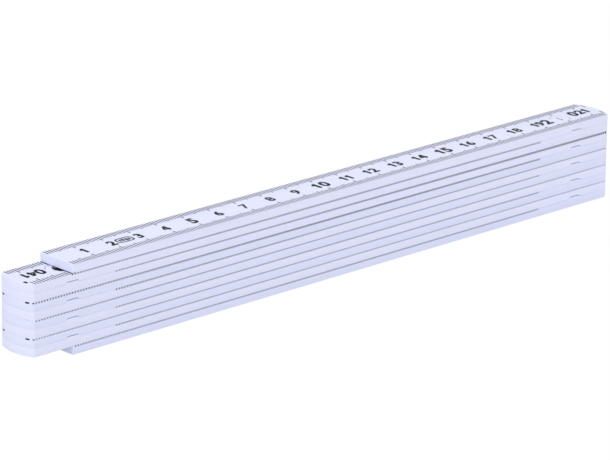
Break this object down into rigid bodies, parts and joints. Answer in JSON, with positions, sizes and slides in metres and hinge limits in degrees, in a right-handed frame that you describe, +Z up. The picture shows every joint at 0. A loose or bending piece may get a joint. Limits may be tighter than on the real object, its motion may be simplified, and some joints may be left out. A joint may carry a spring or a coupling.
{
  "type": "folding rule",
  "caption": "Folding measuring rule of flat white plastic laths stacked face to face, pivoting at alternate ends on sprung flush pins, shown folded.",
  "frame": {"origin": "centre of the folded stack's underside, midway between the two rows of pivots", "axes": "+X along the laths, from the zero end of the top lath to its pivot; +Y across the laths; +Z up through the stack, parallel to every pivot"},
  "size_m": [0.2312, 0.014, 0.0264],
  "materials": {
    "lath": "satin white glass-fibre plastic",
    "pin": "satin white acetal",
    "cap": "satin white acetal",
    "spring": "bright spring steel sheet"
  },
  "bodies": {
    "lath_1": {"lath_01": "lath", "pivot_pin_1": "pin", "pin_cap_1": "cap"},
    "lath_2": {"lath_02": "lath", "pivot_pin_2": "pin", "pin_cap_2": "cap", "spring_washer_1": "spring"},
    "lath_3": {"lath_03": "lath", "pivot_pin_3": "pin", "pin_cap_3": "cap", "spring_washer_2": "spring"},
    "lath_4": {"lath_04": "lath", "pivot_pin_4": "pin", "pin_cap_4": "cap", "spring_washer_3": "spring"},
    "lath_5": {"lath_05": "lath", "pivot_pin_5": "pin", "pin_cap_5": "cap", "spring_washer_4": "spring"},
    "lath_6": {"lath_06": "lath", "pivot_pin_6": "pin", "pin_cap_6": "cap", "spring_washer_5": "spring"},
    "lath_7": {"lath_07": "lath", "pivot_pin_7": "pin", "pin_cap_7": "cap", "spring_washer_6": "spring"},
    "lath_8": {"lath_08": "lath", "pivot_pin_8": "pin", "pin_cap_8": "cap", "spring_washer_7": "spring"},
    "lath_9": {"lath_09": "lath", "pivot_pin_9": "pin", "pin_cap_9": "cap", "spring_washer_8": "spring"},
    "lath_10": {"lath_10": "lath", "spring_washer_9": "spring"}
  },
  "joints": [
    {"name": "hinge_9", "type": "hinge", "parent": "lath_10", "child": "lath_9", "pos_m": [0.1, 0, 0.00252], "axis": [0, 0, 1], "range_deg": [-180, 180]},
    {"name": "hinge_8", "type": "hinge", "parent": "lath_9", "child": "lath_8", "pos_m": [-0.1, 0, 0.00517], "axis": [0, 0, 1], "range_deg": [-180, 180]},
    {"name": "hinge_7", "type": "hinge", "parent": "lath_8", "child": "lath_7", "pos_m": [0.1, 0, 0.00782], "axis": [0, 0, 1], "range_deg": [-180, 180]},
    {"name": "hinge_6", "type": "hinge", "parent": "lath_7", "child": "lath_6", "pos_m": [-0.1, 0, 0.01047], "axis": [0, 0, 1], "range_deg": [-180, 180]},
    {"name": "hinge_5", "type": "hinge", "parent": "lath_6", "child": "lath_5", "pos_m": [0.1, 0, 0.01312], "axis": [0, 0, 1], "range_deg": [-180, 180]},
    {"name": "hinge_4", "type": "hinge", "parent": "lath_5", "child": "lath_4", "pos_m": [-0.1, 0, 0.01577], "axis": [0, 0, 1], "range_deg": [-180, 180]},
    {"name": "hinge_3", "type": "hinge", "parent": "lath_4", "child": "lath_3", "pos_m": [0.1, 0, 0.01842], "axis": [0, 0, 1], "range_deg": [-180, 180]},
    {"name": "hinge_2", "type": "hinge", "parent": "lath_3", "child": "lath_2", "pos_m": [-0.1, 0, 0.02107], "axis": [0, 0, 1], "range_deg": [-180, 180]},
    {"name": "hinge_1", "type": "hinge", "parent": "lath_2", "child": "lath_1", "pos_m": [0.1, 0, 0.02372], "axis": [0, 0, 1], "range_deg": [-180, 180]}
  ]
}
